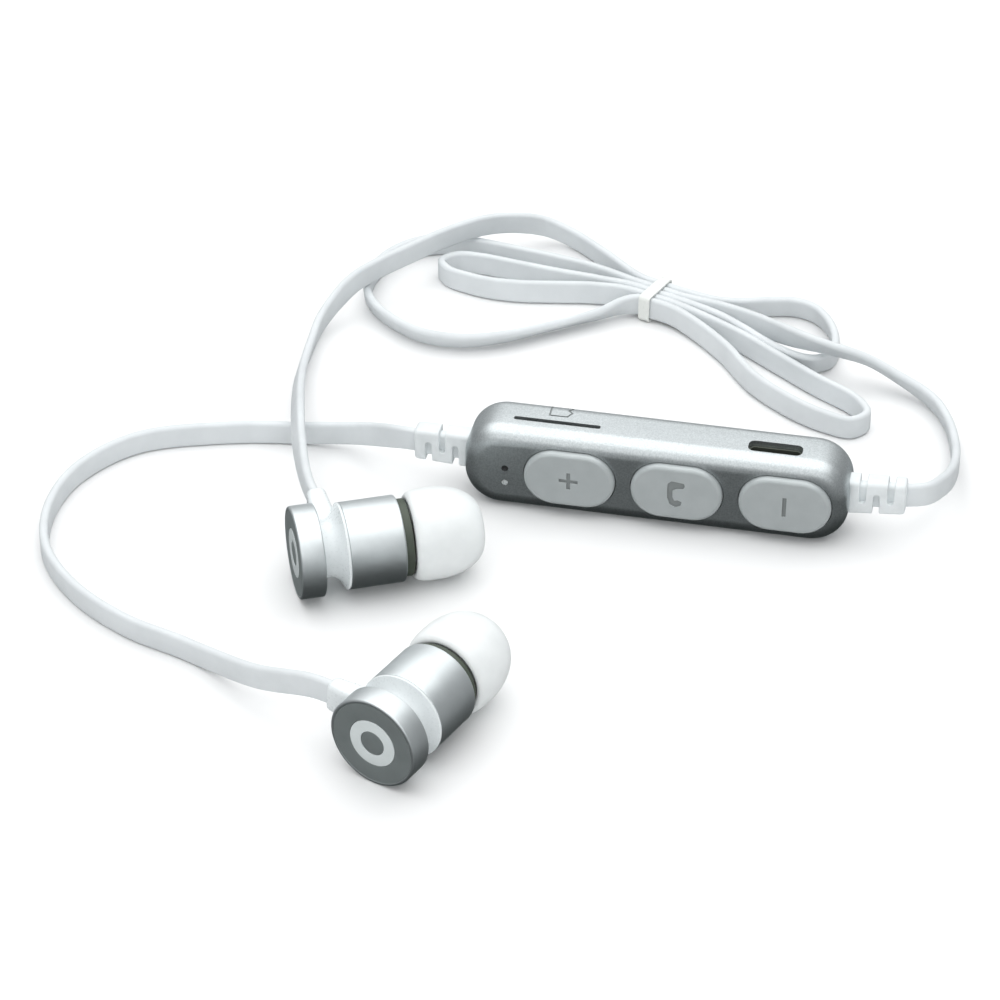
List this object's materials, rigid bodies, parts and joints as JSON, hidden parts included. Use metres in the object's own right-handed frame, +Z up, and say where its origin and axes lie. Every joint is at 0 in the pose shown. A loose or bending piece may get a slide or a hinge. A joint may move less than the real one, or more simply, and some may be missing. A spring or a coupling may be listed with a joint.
{
  "type": "neckband earphones",
  "caption": "In-ear wireless earphones on a flat white cable worn behind the neck, with a slim in-line control box and magnetic cylindrical metal earbuds.",
  "frame": {"origin": "centre of the long narrow face that the control box rests on", "axes": "+X along the control box towards the end with the minus button, -Y out of the button face, +Z up towards the edge with the ports"},
  "size_m": [0.1214, 0.1352, 0.0126],
  "materials": {
    "case_silver": "satin silver paint with a fine grain",
    "button_grey": "satin grey plastic with a soft rim",
    "dark_plastic": "moulded",
    "black_plastic": "moulded",
    "board_green": "solder mask",
    "battery_foil": "laminated foil",
    "socket_steel": "stamped",
    "microphone_brass": "stamped can",
    "led_lens": "clear light pipe",
    "cable_white": "matte white elastomer",
    "tie_clear": "clear plastic strip",
    "bud_aluminium": "turned, satin silver",
    "ring_white": "satin inlay",
    "magnet_nickel": "nickel plated",
    "collar_white": "white moulded plastic",
    "driver_steel": "pressed frame",
    "diaphragm_film": "thin film",
    "nozzle_olive": "dark moulded plastic",
    "mesh_steel": "woven mesh",
    "tip_silicone": "translucent white silicone"
  },
  "bodies": {
    "earphones": {"front_shell": "case_silver", "rear_shell": "case_silver", "plus_switch": "dark_plastic", "call_switch": "dark_plastic", "minus_switch": "dark_plastic", "circuit_board": "board_green", "bluetooth_chip": "black_plastic", "battery": "battery_foil", "card_socket": "socket_steel", "usb_socket": "socket_steel", "usb_tongue": "black_plastic", "microphone": "microphone_brass", "status_led": "led_lens", "left_strain_relief": "cable_white", "right_strain_relief": "cable_white", "short_cable": "cable_white", "long_cable": "cable_white", "cable_tie": "tie_clear", "left_cap": "bud_aluminium", "left_ring": "ring_white", "left_magnet": "magnet_nickel", "left_collar": "collar_white", "left_body": "bud_aluminium", "left_driver": "driver_steel", "left_diaphragm": "diaphragm_film", "left_nozzle": "nozzle_olive", "left_mesh": "mesh_steel", "right_cap": "bud_aluminium", "right_ring": "ring_white", "right_magnet": "magnet_nickel", "right_collar": "collar_white", "right_body": "bud_aluminium", "right_driver": "driver_steel", "right_diaphragm": "diaphragm_film", "right_nozzle": "nozzle_olive", "right_mesh": "mesh_steel"},
    "plus_key": {"plus_button": "button_grey", "plus_plunger": "black_plastic"},
    "call_key": {"call_button": "button_grey", "call_plunger": "black_plastic"},
    "minus_key": {"minus_button": "button_grey", "minus_plunger": "black_plastic"},
    "left_tip": {"left_ear_tip": "tip_silicone"},
    "right_tip": {"right_ear_tip": "tip_silicone"}
  },
  "joints": [
    {"name": "plus_press", "type": "slide", "parent": "earphones", "child": "plus_key", "axis": [0, 1, 0], "range_m": [0, 0.00025], "stiffness_N_per_m": 1500, "springref_m": -0.0006},
    {"name": "call_press", "type": "slide", "parent": "earphones", "child": "call_key", "axis": [0, 1, 0], "range_m": [0, 0.00025], "stiffness_N_per_m": 1500, "springref_m": -0.0006},
    {"name": "minus_press", "type": "slide", "parent": "earphones", "child": "minus_key", "axis": [0, 1, 0], "range_m": [0, 0.00025], "stiffness_N_per_m": 1500, "springref_m": -0.0006},
    {"name": "left_tip_pull", "type": "slide", "parent": "earphones", "child": "left_tip", "axis": [0.8988, 0.4384, 0], "range_m": [0, 0.009]},
    {"name": "right_tip_pull", "type": "slide", "parent": "earphones", "child": "right_tip", "axis": [0.3584, 0.9336, 0], "range_m": [0, 0.009]}
  ]
}
